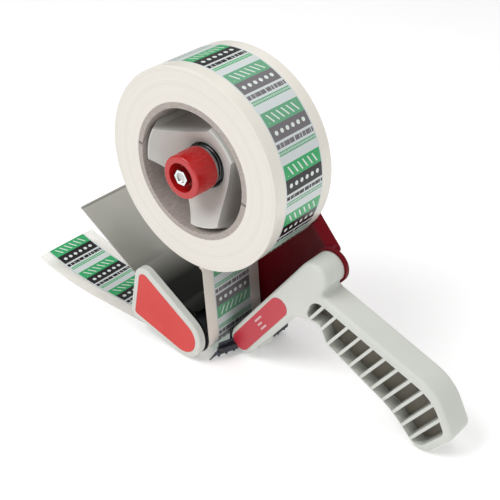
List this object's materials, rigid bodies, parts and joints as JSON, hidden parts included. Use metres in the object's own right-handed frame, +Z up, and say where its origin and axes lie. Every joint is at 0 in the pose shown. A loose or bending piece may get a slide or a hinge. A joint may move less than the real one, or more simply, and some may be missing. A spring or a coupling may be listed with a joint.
{
  "type": "packing tape dispenser",
  "caption": "Hand-held pistol-grip packing tape gun with a printed tape roll on a braked hub, a press roller, a hinged metal guard and a toothed cutting blade.",
  "frame": {"origin": "middle of the outline seen from above, on the surface the tape gun stands on", "axes": "+Z up, +X towards the butt of the grip, +Y along the roll's axis away from the tension knob"},
  "size_m": [0.3242, 0.068, 0.19],
  "materials": {
    "tape_film": "clear wound film, milky from the side",
    "tape_strip": "printed film strip",
    "core_board": "spiral-wound board",
    "hub_plastic": "moulded, satin",
    "body_plastic": "moulded, satin",
    "bush_plastic": "smooth bearing plastic",
    "zinc_steel": "zinc plated",
    "nut_chrome": "bright plated",
    "spring_steel": "dark oiled wire",
    "knob_red": "glossy moulding",
    "disc_fibre": "pressed fibre",
    "frame_red": "deep red enamel on pressed sheet",
    "blade_steel": "dark hardened strip",
    "carrier_black": "moulded, satin",
    "badge_red": "printed label plate",
    "inlay_red": "coloured insert",
    "roller_rubber": "soft black tyre",
    "roller_plastic": "moulded core",
    "guard_steel": "satin sheet"
  },
  "bodies": {
    "frame": {"side_frame": "frame_red", "spindle": "zinc_steel", "handle": "body_plastic", "handle_screws": "zinc_steel", "blade": "blade_steel", "blade_carrier": "carrier_black", "near_badge": "badge_red", "far_badge": "badge_red", "near_cover": "body_plastic", "far_cover": "body_plastic", "near_inlay": "inlay_red", "far_inlay": "inlay_red", "cover_screw": "zinc_steel", "roller_axle": "zinc_steel", "tape_run": "tape_strip", "tape_wrap": "tape_strip", "tape_tail": "tape_strip", "tension_spring": "spring_steel", "friction_disc": "disc_fibre"},
    "roll": {"tape_roll": "tape_film", "tape_core": "core_board", "hub": "hub_plastic", "hub_bush": "bush_plastic"},
    "roller": {"roller_tyre": "roller_rubber", "roller_core": "roller_plastic", "roller_bushes": "bush_plastic"},
    "washer": {"pressure_washer": "zinc_steel"},
    "knob": {"knob": "knob_red", "knob_nut": "nut_chrome"},
    "guard": {"guard": "guard_steel"}
  },
  "joints": [
    {"name": "roll_spin", "type": "hinge", "parent": "frame", "child": "roll", "pos_m": [-0.01055, 0, 0.128], "axis": [0, 1, 0], "continuous": true},
    {"name": "roller_spin", "type": "hinge", "parent": "frame", "child": "roller", "pos_m": [-0.01405, 0, 0.0144], "axis": [0, 1, 0], "continuous": true},
    {"name": "washer_slide", "type": "slide", "parent": "frame", "child": "washer", "axis": [0, 1, 0], "range_m": [-0.00062, 0.00124], "deforming": ["tension_spring"]},
    {"name": "knob_turn", "type": "hinge", "parent": "washer", "child": "knob", "pos_m": [-0.01055, 0, 0.128], "axis": [0, 1, 0], "range_deg": [-180, 360]},
    {"name": "guard_swing", "type": "hinge", "parent": "frame", "child": "guard", "pos_m": [-0.01405, 0, 0.0144], "axis": [0, 1, 0], "range_deg": [0, 12], "stiffness_Nm_per_rad": 0.06, "springref_deg": -20.05}
  ],
  "couplings": [
    {"joint": "knob_turn", "follows": "washer_slide", "rad_per_m": 5026.5}
  ]
}
